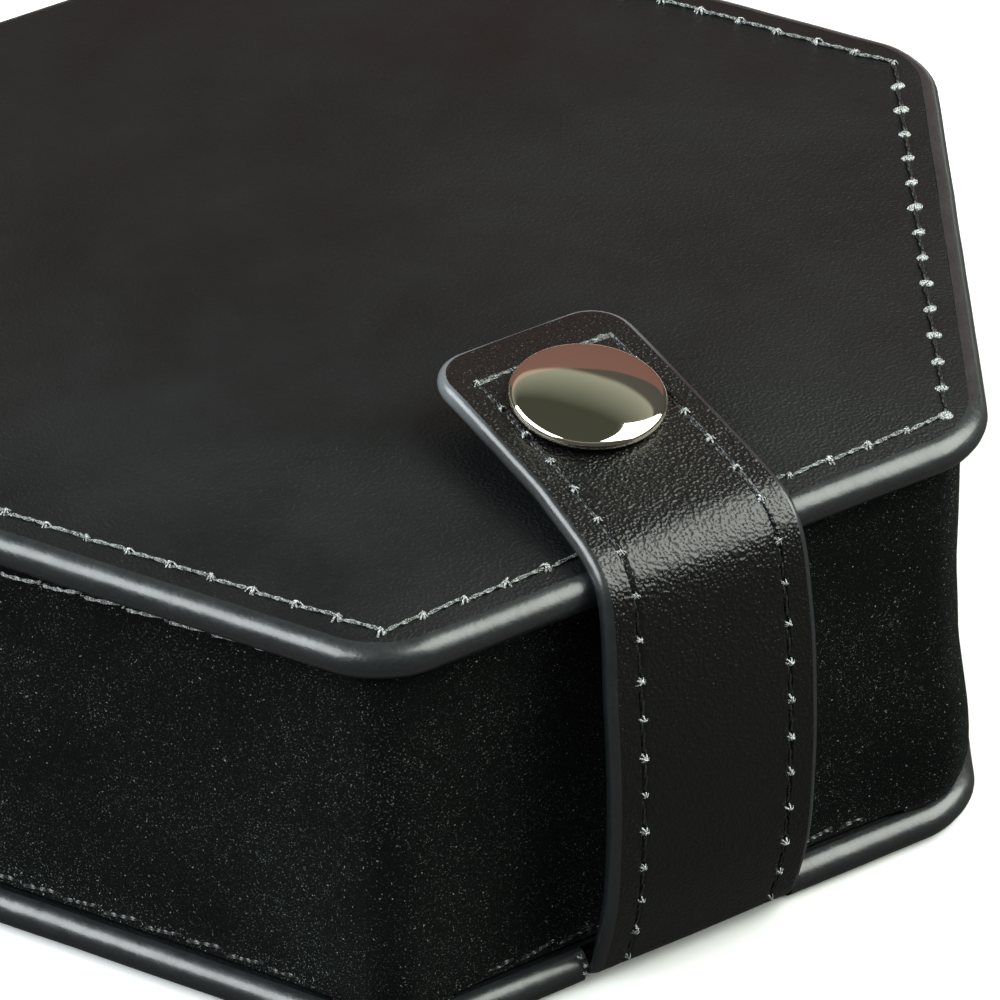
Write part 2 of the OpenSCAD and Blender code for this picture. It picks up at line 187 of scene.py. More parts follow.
def strap_leather():
    """Pebble-embossed leather with a semi-gloss finish: small round grains that catch the light."""
    material, tree, shader, place = new_material("leather_strap_pebbled")
    pebbles = pebble_of(tree, place, 0.27 * MM)
    fine = noise_of(tree, place, 0.12 * MM, 2)
    cloud = noise_of(tree, place, 9 * MM, 3)
    shader.inputs["IOR"].default_value = 1.5
    shader.inputs["Coat Weight"].default_value = 0.2
    shader.inputs["Coat Roughness"].default_value = 0.18
    colour = mix(tree, ramp(tree, pebbles, 0, 1, 0.0, 0.6), "#070908", "#040404")
    tree.links.new(colour, shader.inputs["Base Color"])
    tree.links.new(ramp(tree, cloud, 0.27, 0.34, 0.3, 0.7), shader.inputs["Roughness"])
    under = bump(tree, fine, 0.012 * MM, 0.5)
    tree.links.new(bump(tree, pebbles, 0.13 * MM, 0.9, under), shader.inputs["Normal"])
    return material


def edge_paint(name, painted_end_highlight):
    """Acrylic edge paint, levelled to a dark semi-gloss; towards the strap's free end it is painted pale, a
    painted highlight for the light its edge catches from behind.
    """
    material, tree, shader, place = new_material(name)
    waves = noise_of(tree, place, 1.8 * MM, 3)
    dust = noise_of(tree, place, 0.3 * MM, 3, 0.7)
    shader.inputs["IOR"].default_value = 1.52
    shader.inputs["Specular IOR Level"].default_value = 0.7
    shader.inputs["Coat Weight"].default_value = 0.5
    shader.inputs["Coat Roughness"].default_value = 0.2
    depth = add(tree, "ShaderNodeSeparateXYZ", {0: place}).outputs["Y"]
    # Painted highlight: towards the strap's free end the paint turns pale, in place of the light its edge
    # catches from behind
    pale = ramp(tree, depth, 0, painted_end_highlight, -33 * MM, -25 * MM)
    dark = mix(tree, ramp(tree, dust, 0, 1, 0.35, 0.7), "#14171a", "#212628")
    tree.links.new(mix(tree, pale, dark, "#63686c"), shader.inputs["Base Color"])
    tree.links.new(ramp(tree, waves, 0.3, 0.4, 0.3, 0.7), shader.inputs["Roughness"])
    under = bump(tree, dust, 0.04 * MM, 0.5)
    tree.links.new(bump(tree, waves, 0.14 * MM, 0.6, under), shader.inputs["Normal"])
    return material


def thread(name, dark, painted_glint):
    """Filament polyester thread: black, with the glints of its bundled filaments painted into its colour as
    bright flecks.
    """
    material, tree, shader, place = new_material(name)
    fibres = noise_of(tree, place, 0.1 * MM, 2)
    shader.inputs["IOR"].default_value = 1.6
    tree.links.new(mix(tree, ramp(tree, fibres, 0, 1, 0.42, 0.62), dark, painted_glint), shader.inputs["Base Color"])
    tree.links.new(ramp(tree, fibres, 0.2, 0.42, 0.3, 0.7), shader.inputs["Roughness"])
    tree.links.new(bump(tree, fibres, 0.05 * MM, 0.6), shader.inputs["Normal"])
    return material


def lint_of(tree, place, size, start, stop):
    """Specks and short fibres of about size metres, where the noise passes a threshold."""
    return ramp(tree, noise_of(tree, place, size, 2, 0.65), 0, 1, start, stop)


def velvet(name, base, tip, lint):
    """Short cotton-backed velvet: swallows light, with lint and single fibres that catch it."""
    material, tree, shader, place = new_material(name)
    pile = noise_of(tree, place, 0.16 * MM, 3, 0.7)
    nap = noise_of(tree, place, 11 * MM, 4, 0.6)
    fine = lint_of(tree, place, 0.15 * MM, 0.615, 0.73)
    coarse = lint_of(tree, place, 0.26 * MM, 0.685, 0.74)
    drift = ramp(tree, nap, 0.15, 0.8, 0.38, 0.66)
    few = add(tree, "ShaderNodeMath", {0: fine, 1: drift}, operation="MULTIPLY").outputs[0]
    lit = add(tree, "ShaderNodeMath", {0: few, 1: coarse}, operation="MAXIMUM").outputs[0]
    ground = mix(tree, ramp(tree, nap, 0, 1, 0.3, 0.7), base, tip)
    shader.inputs["Roughness"].default_value = 0.9
    shader.inputs["Specular IOR Level"].default_value = 0.12
    shader.inputs["Sheen Weight"].default_value = 0.06
    shader.inputs["Sheen Roughness"].default_value = 0.4
    shader.inputs["Sheen Tint"].default_value = linear("#7d8c86")
    tree.links.new(mix(tree, lit, ground, lint), shader.inputs["Base Color"])
    tree.links.new(bump(tree, pile, 0.12 * MM, 0.8), shader.inputs["Normal"])
    return material


def nickel(name, roughness):
    """Nickel plate over pressed brass: mirror bright and a little warm."""
    material, tree, shader, place = new_material(name)
    wear = noise_of(tree, place, 1.5 * MM, 3, 0.6)
    shader.inputs["Metallic"].default_value = 1
    shader.inputs["Base Color"].default_value = linear("#d9d2c0")
    tree.links.new(ramp(tree, wear, roughness, roughness * 1.6, 0.3, 0.7), shader.inputs["Roughness"])
    return material


def greyboard():
    """Bookbinder's board, dyed black through: pressed pulp with paler flecks."""
    material, tree, shader, place = new_material("board_black_pulp")
    flecks = noise_of(tree, place, 0.5 * MM, 4, 0.7)
    shader.inputs["Roughness"].default_value = 0.95
    colour = mix(tree, ramp(tree, flecks, 0, 1, 0.4, 0.65), "#151413", "#232120")
    tree.links.new(colour, shader.inputs["Base Color"])
    tree.links.new(bump(tree, flecks, 0.05 * MM, 0.5), shader.inputs["Normal"])
    return material


LEATHER = plate_leather()
STRAP = strap_leather()
PAINT = edge_paint("edge_paint_semigloss", 0)
# The strap's paint has the painted highlight at its free end
END_HIGHLIGHT_PAINT = edge_paint("edge_paint_painted_highlight_end", 1)
# Lit and shaded copies of one black thread: the lit copy's bright flecks are painted glints, the shaded copy is
# painted dark for rows that lie in shade
LIT_THREAD = thread("thread_polyester_painted_glints", "#121414", "#9aa19e")
SHADED_THREAD = thread("thread_polyester_painted_shade", "#060707", "#2a2e2d")
# The ends' thread is the brightest copy: its near white flecks are painted glints
TUFT = thread("thread_ends_painted_glints", "#2d3130", "#d3d8d5")
WALL_VELVET = velvet("velvet_wall_black", "#030404", "#080b0a", "#9aa6a0")
LINING_VELVET = velvet("velvet_lining_black", "#040504", "#0a0c0b", "#39403d")
CAP_METAL = nickel("nickel_polished", 0.035)
SNAP_METAL = nickel("nickel_bright", 0.16)
BOARD = greyboard()


# ---------------------------------------------------------------- modelling helpers
def object_mode():
    """Leaves edit mode, if it is on."""
    if bpy.context.object is not None and bpy.context.object.mode != "OBJECT":
        bpy.ops.object.mode_set(mode="OBJECT")


def activate(obj):
    """Selects one piece alone and makes it the active one."""
    object_mode()
    bpy.ops.object.select_all(action="DESELECT")
    obj.select_set(True)
    bpy.context.view_layer.objects.active = obj


def select(obj, kind, test):
    """Goes to edit mode with those vertices, edges or faces selected that pass test(centre, direction)."""
    activate(obj)
    mesh = obj.data
    bpy.context.tool_settings.mesh_select_mode = (kind == "VERT", kind == "EDGE", kind == "FACE")
    for group in (mesh.vertices, mesh.edges, mesh.polygons):
        group.foreach_set("select", [False] * len(group))
    if kind == "VERT":
        for vertex in mesh.vertices:
            vertex.select = test(vertex.co, vertex.normal)
    elif kind == "EDGE":
        for edge in mesh.edges:
            a, b = (mesh.vertices[i].co for i in edge.vertices)
            edge.select = test((a + b) / 2, b - a)
    else:
        for face in mesh.polygons:
            face.select = test(face.center, face.normal)
    bpy.ops.object.mode_set(mode="EDIT")


def select_all(obj):
    """Goes to edit mode with the whole piece selected."""
    activate(obj)
    bpy.ops.object.mode_set(mode="EDIT")
    bpy.ops.mesh.select_all(action="SELECT")


def named(name):
    """The object that an operator has just added, named, with its place in its mesh."""
    obj = bpy.context.object
    obj.name = obj.data.name = name
    bpy.ops.object.transform_apply(location=True, rotation=True, scale=True)
    return obj


def modify(obj, kind, **settings):
    """Adds a modifier with its settings and applies it."""
    activate(obj)
    modifier = obj.modifiers.new(kind.lower(), kind)
    for key, value in settings.items():
        setattr(modifier, key, value)
    bpy.ops.object.modifier_apply(modifier=modifier.name)


def reshape(obj, move):
    """Moves every point of a piece by a rule: the hand-shaping of leather and cloth."""
    object_mode()
    for vertex in obj.data.vertices:
        vertex.co = move(vertex.co.copy())
    obj.data.update()


def finish_piece(obj, body, material, slot, *nodes, angle=40):
    """Cleans a piece, smooths it by angle, gives it its material and hangs it on its body."""
    select_all(obj)
    bpy.ops.mesh.remove_doubles(threshold=0.0005 * MM)
    bpy.ops.mesh.normals_make_consistent(inside=False)
    object_mode()
    activate(obj)
    bpy.ops.object.shade_smooth_by_angle(angle=math.radians(angle))
    if material:
        obj.data.materials.clear()
        obj.data.materials.append(material)
    if nodes:
        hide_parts(*nodes)
    if body:
        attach(obj, body)
    return obj


def join(name, parts):
    """Joins pieces into one, under one name."""
    activate(parts[0])
    for part in parts:
        part.select_set(True)
    bpy.ops.object.join()
    obj = bpy.context.object
    obj.name = obj.data.name = name
    return obj


def hex_prism(name, apothem, corner_r, z0, z1, steps=14):
    """Hexagonal prism with its flats at +Y and -Y and rounded corners."""
    object_mode()
    bpy.ops.object.select_all(action="DESELECT")
    reach = apothem / math.cos(math.radians(30))
    bpy.ops.mesh.primitive_cylinder_add(vertices=6, radius=reach, depth=z1 - z0,
                                        location=(0, 0, (z0 + z1) / 2), rotation=(0, 0, math.radians(30)))
    obj = named(name)
    select(obj, "EDGE", lambda c, d: abs(d.z) > 0.5 * (z1 - z0))
    cut = corner_r * math.tan(math.radians(30))
    bpy.ops.mesh.bevel(offset=cut, segments=steps, profile=0.5, affect="EDGES")
    object_mode()
    return obj


def half_round_ring(obj, low, high, segments=7):
    """Turns a flat prism into the half-round ring that its painted edge is."""
    size = (high - low) * 0.498
    select(obj, "EDGE", lambda c, d: abs(d.z) < 1e-6 and min(abs(c.z - low), abs(c.z - high)) < 1e-6)
    bpy.ops.mesh.bevel(offset=size, segments=segments, profile=0.5, affect="EDGES", clamp_overlap=False)
    select(obj, "FACE", lambda c, n: abs(n.z) > 0.9999 and min(abs(c.z - low), abs(c.z - high)) < 1e-6)
    bpy.ops.mesh.delete(type="FACE")
    select(obj, "EDGE", lambda c, d: False)
    bpy.ops.mesh.select_non_manifold(extend=False)
    bpy.ops.mesh.bridge_edge_loops()
    object_mode()


def cut_long_edges(obj, longest, cuts):
    """Cuts the long edges of a piece, so that it can be shaped between its corners."""
    select(obj, "EDGE", lambda c, d: d.length > longest)
    bpy.ops.mesh.subdivide(number_cuts=cuts)
    object_mode()


def uneven(obj, depth, size, seed):
    """Lets a surface wander a little, as hand work does."""
    shift = Vector((seed * 3.7, seed * 1.3, seed * 2.1))
    reshape(obj, lambda p: p + depth * noise.noise_vector(p / size + shift))


# ---------------------------------------------------------------- leather plates
def plate_edge(name, body, low, seed):
    """Painted edge of a plate: half round, on the five sides that the spine leaves open."""
    obj = hex_prism(name, APOTHEM, CORNER_R, low, low + PLATE_T)
    half_round_ring(obj, low, low + PLATE_T)
    select(obj, "FACE", lambda c, n: c.y > SHEET_A - 0.1 * MM and abs(c.x) < 5 * MM)
    bpy.ops.mesh.delete(type="FACE")
    select(obj, "EDGE", lambda c, d: False)
    bpy.ops.mesh.select_non_manifold(extend=False)
    bpy.ops.mesh.fill_holes(sides=0)
    cut_long_edges(obj, 15 * MM, 30)
    uneven(obj, 0.045 * MM, 5 * MM, seed)
    return obj


def lid_cover():
    """The leather of the lid, which bends down over the back edge and runs on as the spine."""
    obj = hex_prism("lid_and_spine_leather", SHEET_A, SHEET_R, LID_TOP - LEATHER_T, LID_TOP)
    straight_top = LID_TOP - BEND_R
    select(obj, "FACE", lambda c, n: n.y > 0.99)
    bpy.ops.mesh.spin(steps=8, angle=math.radians(90), center=(0, SHEET_A, straight_top), axis=(1, 0, 0))
    drops = [0.35 * MM] * 14 + [4 * MM] * 7
    left = straight_top - BEND_R - sum(drops)
    for drop in drops + [left]:
        bpy.ops.mesh.extrude_region_move(TRANSFORM_OT_translate={"value": (0, 0, -drop)})
    bpy.ops.mesh.spin(steps=8, angle=math.radians(90), center=(0, SHEET_A, BEND_R), axis=(1, 0, 0))
    cut_long_edges(obj, 40 * MM, 16)
    select(obj, "EDGE", lambda c, d: abs(c.z - LID_TOP) < 1e-6 and abs(d.z) < 1e-6
           and c.xy.length > SHEET_A - 1 * MM and c.y < SHEET_A - 0.1 * MM)
    bpy.ops.mesh.bevel(offset=0.05 * MM, segments=2, profile=0.5, affect="EDGES")
    object_mode()
    return obj


lid_edge = plate_edge("lid_edge_paint", "lid", LID_UNDER, 1)
finish_piece(lid_edge, "lid", PAINT, "edge_paint", "lid_edge_coat")

base_edge = plate_edge("base_edge_paint", "base", 0, 2)
tail_low, tail_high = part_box("strap_tail")
bpy.ops.object.select_all(action="DESELECT")
bpy.ops.mesh.primitive_cube_add(size=1, location=((tail_low[0] + tail_high[0]) / 2, tail_low[1], 0),
                                scale=(tail_high[0] - tail_low[0] + 0.8 * MM, 8 * MM, 3.7 * MM))
notch = named("notch")
modify(base_edge, "BOOLEAN", object=notch, operation="DIFFERENCE", solver="EXACT")
bpy.data.objects.remove(notch)
bpy.ops.object.select_all(action="DESELECT")
bpy.ops.mesh.primitive_cube_add(size=1, location=((tail_low[0] + tail_high[0]) / 2, -APOTHEM, 0),
                                scale=(tail_high[0] - tail_low[0] + 0.1 * MM, 4.6 * MM, 9 * MM))
notch = named("notch")
modify(base_edge, "BOOLEAN", object=notch, operation="DIFFERENCE", solver="EXACT")
bpy.data.objects.remove(notch)
finish_piece(base_edge, "base", PAINT, "edge_paint", "base_edge_coat")

cover = lid_cover()
finish_piece(cover, None, LEATHER, "plate_leather", "lid_leather", "spine_leather")
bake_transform(cover)


# ---------------------------------------------------------------- stitches
def twisted_stitch(length, thickness, seed):
    """One stitch along +X: two twisted plies that rise out of one hole and dive into the next."""
    rng = random.Random(seed)
    bpy.ops.object.select_all(action="DESELECT")
    ply = thickness * 0.25
    bpy.ops.mesh.primitive_circle_add(vertices=4, radius=ply, rotation=(0, math.radians(90), 0),
                                      location=(0, 0, ply * 0.8))
    obj = named("ply")
    modify(obj, "SCREW", axis="X", angle=math.radians(rng.uniform(380, 560)), screw_offset=length, steps=10,
           render_steps=10, use_merge_vertices=False)
    select(obj, "EDGE", lambda c, d: False)
    bpy.ops.mesh.select_non_manifold(extend=False)
    bpy.ops.mesh.fill_holes(sides=0)
    object_mode()
    twin = obj.copy()
    twin.data = obj.data.copy()
    bpy.context.scene.collection.objects.link(twin)
    twin.data.transform(Matrix.Rotation(math.pi, 4, "X"))
    stitch = join("stitch", [obj, twin])
    lift = thickness * rng.uniform(0.26, 0.36)
    sway = thickness * rng.uniform(-0.15, 0.15)

    def settle(p):
        u = p.x / length
        arch = 1 - abs(2 * u - 1) ** 7
        squeeze = 0.75 + 0.25 * arch
        slant = thickness * 0.35 * (2 * u - 1)
        return Vector((p.x, p.y * squeeze + slant + sway * math.sin(math.pi * u),
                       0.8 * p.z * squeeze + lift * arch - thickness * 0.5 * (1 - arch)))

    reshape(stitch, settle)
    return stitch


def frayed_tuft(thickness, seed):
    """The tuft where two stitches share a hole: short filaments that cross and stand up a little."""
    rng = random.Random(seed)
    strands = []
    for turn in (rng.uniform(-55, -25), rng.uniform(20, 50), rng.uniform(75, 105)):
        bpy.ops.object.select_all(action="DESELECT")
        long = thickness * rng.uniform(1.1, 1.7)
        bpy.ops.mesh.primitive_cylinder_add(vertices=4, radius=thickness * 0.13, depth=long,
                                            rotation=(0, math.radians(90), 0))
        strand = named("strand")
        cut_long_edges(strand, long / 2, 2)
        rise = thickness * rng.uniform(0.35, 0.6)
        slip = thickness * rng.uniform(-0.25, 0.25)
        heading = Matrix.Rotation(math.radians(turn), 3, "Z")
        reshape(strand, lambda p: heading @ Vector((p.x + slip, p.y,
                                                    p.z + rise * (1 - 5 * (p.x / long) ** 2))))
        strands.append(strand)
    return join("tuft", strands)


def round_knot(thickness, seed):
    """The round end of a stitch that is pulled tight into its hole."""
    bpy.ops.object.select_all(action="DESELECT")
    bpy.ops.mesh.primitive_ico_sphere_add(subdivisions=2, radius=thickness)
    knot = named("knot")
    shift = Vector((seed * 7.3, 1, 2))
    reshape(knot, lambda p: Vector((p.x * 0.8, p.y * 1.1, p.z * 0.42))
            * (1 + 0.3 * noise.noise(p / thickness + shift)))
    return knot


class StitchKit:
    """A few stitches and tufts to copy from, so that no long row looks stamped."""

    def __init__(self, length):
        self.length = length
        self.stitches = [twisted_stitch(length * 1.02, THREAD_D, seed) for seed in range(4)]
        self.tufts = [frayed_tuft(THREAD_D, seed) for seed in range(5)]
        self.knots = [round_knot(THREAD_D, seed) for seed in range(3)]
        self.rng = random.Random(11)

    def copy(self, source, place, material):
        """Copy of a strand or an end, put in its place with its material."""
        twin = source.copy()
        twin.data = source.data.copy()
        twin.data.transform(place)
        twin.data.materials.append(material)
        bpy.context.scene.collection.objects.link(twin)
        return twin

    def sew(self, name, holes, normals, yarn=LIT_THREAD, tuft_size=1.0, sunk=0.0, ends=None):
        """Stitches from hole to hole; normals say which way the surface faces at each hole."""
        parts = []
        for i in range(len(holes) - 1):
            a, b = holes[i], holes[i + 1]
            run = (b - a).normalized()
            out = (normals[i] + normals[i + 1]).normalized()
            out = (out - out.dot(run) * run).normalized()
            turn = Matrix((run, out.cross(run), out)).transposed().to_4x4()
            slip = Matrix.Rotation(math.radians(self.rng.uniform(-2.5, 2.5)), 4, "Z")
            stretch = Matrix.Diagonal(((b - a).length / self.length, 1, 1, 1))
            place = Matrix.Translation(a) @ turn
            parts.append(self.copy(self.rng.choice(self.stitches), place @ slip @ stretch, yarn))
            if tuft_size:
                spin = Matrix.Rotation(math.radians(self.rng.uniform(-25, 25)), 4, "Z")
                size = tuft_size * self.rng.uniform(0.8, 1.15)
                grown = Matrix.Diagonal((size, size, size, 1))
                rise = Matrix.Translation((0, 0, sunk))
                end = self.rng.choice(ends or self.tufts)
                # Every end gets the ends' thread and its painted glints
                parts.append(self.copy(end, place @ rise @ spin @ grown, TUFT))
        return join(name, parts)

    def discard(self):
        """Removes the pieces that were only copied from."""
        for obj in self.stitches + self.tufts + self.knots:
            bpy.data.objects.remove(obj)


def corner_of(apothem, k):
    """Corner k of a sharp hexagon, counted from the right round to the back."""
    reach = apothem / math.cos(math.radians(30))
    return Vector((reach * math.cos(math.radians(60 * k)), reach * math.sin(math.radians(60 * k)), 0))


def side_holes(apothem, k, z, z_end, count=14):
    """Needle holes along the side of a hexagon from corner k to the next."""
    a, b = corner_of(apothem, k), corner_of(apothem, k + 1)
    return [a.lerp(b, i / count) + Vector((0, 0, z + (z_end - z) * i / count)) for i in range(count + 1)]


kit = StitchKit(3.7 * MM)
FACES_OUT = {k: Vector((math.cos(math.radians(60 * k + 30)), math.sin(math.radians(60 * k + 30)), 0))
             for k in range(2, 7)}

# Sizes of the thread ends in each row, as a share of a plain one, and how far they stand up
LID_TUFT, LID_KNOT, RIM_TUFT, BASE_TUFT, SPINE_TUFT = 1.45, 1.3, 0.8, 0.3, 0.9
STRAP_TUFT, STRAP_END_TUFT, FOOT_TUFT = 1.35, 1.5, 0.9
END_LIFT = 0.05 * MM

# The side that faces right is sewn with the shaded copy of the thread, painted dark for the shade there; the
# others with the lit copy and its painted glints
lid_rows = []
for k in range(2, 7):
    holes = side_holes(APOTHEM - STITCH_INSET, k, LID_TOP, LID_TOP)
    if k == 5:
        lid_rows.append(kit.sew("row", holes, [UP] * 15, SHADED_THREAD, LID_KNOT, END_LIFT, kit.knots))
    else:
        lid_rows.append(kit.sew("row", holes, [UP] * 15, LIT_THREAD, LID_TUFT, END_LIFT))
finish_piece(join("lid_stitches", lid_rows), "lid", None, "thread", "lid_stitching", angle=60)

# The rim's stitches drop further below the lid the further they are from the front
RIM_DROP = {2: 2.4 * MM, 3: 2.4 * MM, 4: 0.5 * MM, 5: 0.5 * MM, 6: 2.4 * MM, 7: 2.4 * MM}
# The rim rows are sewn with the ends' thread: its near white flecks are painted glints for the light the rows
# catch under the lid's edge
rim_rows = []
for k in range(2, 7):
    holes = side_holes(WALL_A + 0.12 * MM, k, LID_UNDER - RIM_DROP[k], LID_UNDER - RIM_DROP[k + 1])[1:-1]
    rim_rows.append(kit.sew("row", holes, [FACES_OUT[k]] * len(holes), TUFT, RIM_TUFT))
finish_piece(join("rim_stitches", rim_rows), "base", None, "thread", "wall_rim_stitching", angle=60)

# The base rows are sewn with the shaded copy: painted shade of the fold they lie in
base_rows = []
for k in range(2, 7):
    holes = side_holes(SHEET_A - 0.75 * MM, k, PLATE_T + 0.62 * MM, PLATE_T + 0.62 * MM)
    slope = (FACES_OUT[k] + UP).normalized()
    base_rows.append(kit.sew("row", holes, [slope] * 15, SHADED_THREAD, BASE_TUFT))
finish_piece(join("base_stitches", base_rows), "base", None, "thread", "base_stitching", angle=60)

spine_rows = []
spine_low, spine_high = (Vector(c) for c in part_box("spine_stitching"))
for x in (spine_low.x + THREAD_D / 2, spine_high.x - THREAD_D / 2):
    holes = [Vector((x, SPINE_Y, spine_low.z + 0.2 * MM + 3.6 * MM * i)) for i in range(9)]
    spine_rows.append(kit.sew("row", holes, [Vector((0, 1, 0))] * 9, LIT_THREAD, SPINE_TUFT))
finish_piece(join("spine_stitches", spine_rows), "base", None, "thread", "spine_stitching", angle=60)


# ---------------------------------------------------------------- strap
STRAP_X = sum(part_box("strap_front_edge_coat")[i][0] for i in (0, 1)) / 2
STRAP_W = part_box("strap_front_edge_coat")[1][0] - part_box("strap_front_edge_coat")[0][0]
TIP_W = 17.55 * MM
STRAP_T = 1.75 * MM
SKIVED_T = 0.8 * MM
TIP_CORNER = 4 * MM
ROW_INSET = 2.85 * MM
# Outer surface of the strap as y, z in millimetres: under the base, up the front, over the lid
STRAP_ROUTE = [
    (-24, 0), (-30, 0), (-36, 0), (-41, 0), (-44.5, 0), (-47, 0.25), (-48.6, 1.1), (-49.7, 2.3), (-50.4, 4),
    (-51.3, 6.8), (-52.1, 10.5), (-52.5, 15), (-52.7, 21), (-52.4, 28), (-51.9, 33), (-51.5, 36), (-51.1, 38),
    (-50.5, 39.7), (-49.4, 41.1), (-47.6, 42.15), (-45, 42.75), (-42, 43.25), (-39.3, 43.67), (-36, 44.02),
    (-32, 44.44), (-28.3, 44.8), (-25.5, 44.95), (-22.3, 44.97)
]


class Route:
    """A smooth line through the strap's outer surface, measured along its length."""

    def __init__(self, points, per_span=12):
        padded = [points[0]] + points + [points[-1]]
        line = []
        for i in range(1, len(padded) - 2):
            spans = [Vector(padded[i + k]) * MM for k in (-1, 0, 1, 2)]
            line += [self.between(spans, j / per_span) for j in range(per_span)]
        line.append(Vector(points[-1]) * MM)
        self.line = line
        self.at = [0.0]
        for a, b in zip(line, line[1:]):
            self.at.append(self.at[-1] + (b - a).length)
        self.length = self.at[-1]

    @staticmethod
    def between(p, t):
        """Catmull-Rom point between p[1] and p[2]."""
        a = 2 * p[1]
        b = p[2] - p[0]
        c = 2 * p[0] - 5 * p[1] + 4 * p[2] - p[3]
        d = 3 * p[1] - p[0] - 3 * p[2] + p[3]
        return 0.5 * (a + b * t + c * t * t + d * t ** 3)

    def index(self, s):
        """Number of the last point at or before a distance along the strap."""
        low, high = 0, len(self.at) - 2
        while low < high:
            middle = (low + high + 1) // 2
            low, high = (middle, high) if self.at[middle] <= s else (low, middle - 1)
        return low

    def point(self, s):
        """Where the strap is at a distance along it."""
        i = self.index(s)
        share = (s - self.at[i]) / (self.at[i + 1] - self.at[i])
        return self.line[i].lerp(self.line[i + 1], share)

    def outward(self, s):
        """Unit normal on the outer side of the strap, averaged over a short stretch."""
        step = 0.4 * MM
        a = self.point(max(0, s - step))
        b = self.point(min(self.length, s + step))
        d = (b - a).normalized()
        return Vector((-d.y, d.x))

    def place(self, x, s, n):
        p = self.point(s) + self.outward(s) * n
        return Vector((STRAP_X + x, p.x, p.y))


ROUTE = Route(STRAP_ROUTE)


def s_at_height(z):
    """Length along the route where the strap's front passes a height."""
    return next(s for s, p in zip(ROUTE.at, ROUTE.line) if p.y > z)


BEND_S = s_at_height(39.6 * MM)
MIDDLE_S = s_at_height(21 * MM)
SKIVE_END_S = s_at_height(6 * MM)
SKIVE_START_S = s_at_height(0.3 * MM)


def tip_share(s):
    """Nothing on the front of the box, and one towards the strap's free end."""
    start = s_at_height(30 * MM)
    return min(1, max(0, (s - start) / (BEND_S - start + 12 * MM)))


def across(x, s):
    """The strap is a little narrower and sits a little to the right towards its free end."""
    return x * (1 + (TIP_W / STRAP_W - 1) * tip_share(s)) + TIP_DRIFT * tip_share(s)


def thickness_share(s):
    """The strap is skived thin where it folds under the base."""
    share = min(1, max(0, (s - SKIVE_START_S) / (SKIVE_END_S - SKIVE_START_S)))
    return (SKIVED_T + (STRAP_T - SKIVED_T) * share) / STRAP_T


def wrap(p):
    """Takes a point of the flat strap (x across, y along, z out) to its place on the box."""
    s = min(ROUTE.length, max(0, p.y))
    return ROUTE.place(across(p.x, s), s, p.z * thickness_share(s))


def flat_strap(name, inset, low, high):
    """A flat strap blank with rounded corners at its free end."""
    bpy.ops.object.select_all(action="DESELECT")
    length = ROUTE.length - inset
    bpy.ops.mesh.primitive_cube_add(size=1, location=(0, length / 2, (low + high) / 2),
                                    scale=(STRAP_W - 2 * inset, length, high - low))
    obj = named(name)
    select(obj, "EDGE", lambda c, d: abs(d.z) > 1e-6 and c.y > length - 1 * MM)
    bpy.ops.mesh.bevel(offset=TIP_CORNER - inset, segments=12, profile=0.5, affect="EDGES")
    object_mode()
    return obj


def slice_across(obj, start, stop, step):
    """Cuts a blank across at even steps, so that it can bend."""
    select_all(obj)
    for i in range(1, int((stop - start) / step)):
        bpy.ops.mesh.select_all(action="SELECT")
        bpy.ops.mesh.bisect(plane_co=(0, start + i * step, 0), plane_no=(0, 1, 0))
    object_mode()


def slice_along(obj, places):
    """Cuts a flat piece along its length at each place."""
    select_all(obj)
    for x in places:
        bpy.ops.mesh.select_all(action="SELECT")
        bpy.ops.mesh.bisect(plane_co=(x, 0, 0), plane_no=(1, 0, 0))
    object_mode()


def split_strap(obj, name):
    """The lower and upper halves of a flat piece, which meet at mid height."""
    upper = obj.copy()
    upper.data = obj.data.copy()
    bpy.context.scene.collection.objects.link(upper)
    upper.name = upper.data.name = name + "_upper"
    obj.name = obj.data.name = name + "_lower"
    for half, keep_upper in ((obj, False), (upper, True)):
        select_all(half)
        bpy.ops.mesh.bisect(plane_co=(0, MIDDLE_S, 0), plane_no=(0, 1, 0), use_fill=True,
                            clear_inner=keep_upper, clear_outer=not keep_upper)
        object_mode()
    return obj, upper


def hang_strap(lower, upper):
    """Bakes the placement of the lower and upper halves into their meshes."""
    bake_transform(lower)
    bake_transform(upper)


ROW_X = STRAP_W / 2 - ROW_INSET
END_ROW_S = ROUTE.length - ROW_INSET - 1.8 * MM
TIP_DRIFT = 0.23 * MM
GROOVE = 0.5 * MM
GROOVE_DEPTH = 0.28 * MM
EDGE_R = STRAP_T / 2
SLICE = 0.7 * MM


def groove_and_crown(p):
    """Sinks the stitch rows of the top leather and lets the middle stand a little proud."""
    if p.z < -0.1 * MM:
        return p
    side = min(abs(abs(p.x) - ROW_X), 1)
    sunk = GROOVE_DEPTH * max(0, 1 - side / (0.5 * GROOVE)) if p.y < END_ROW_S + 0.1 * MM else 0
    if abs(p.x) < ROW_X + 0.1 * MM:
        sunk = max(sunk, GROOVE_DEPTH * max(0, 1 - abs(p.y - END_ROW_S) / (0.5 * GROOVE)))
    crown = 0.1 * MM * math.cos(min(1, abs(p.x) / ROW_X) * math.pi / 2)
    return Vector((p.x, p.y, p.z - sunk + crown))


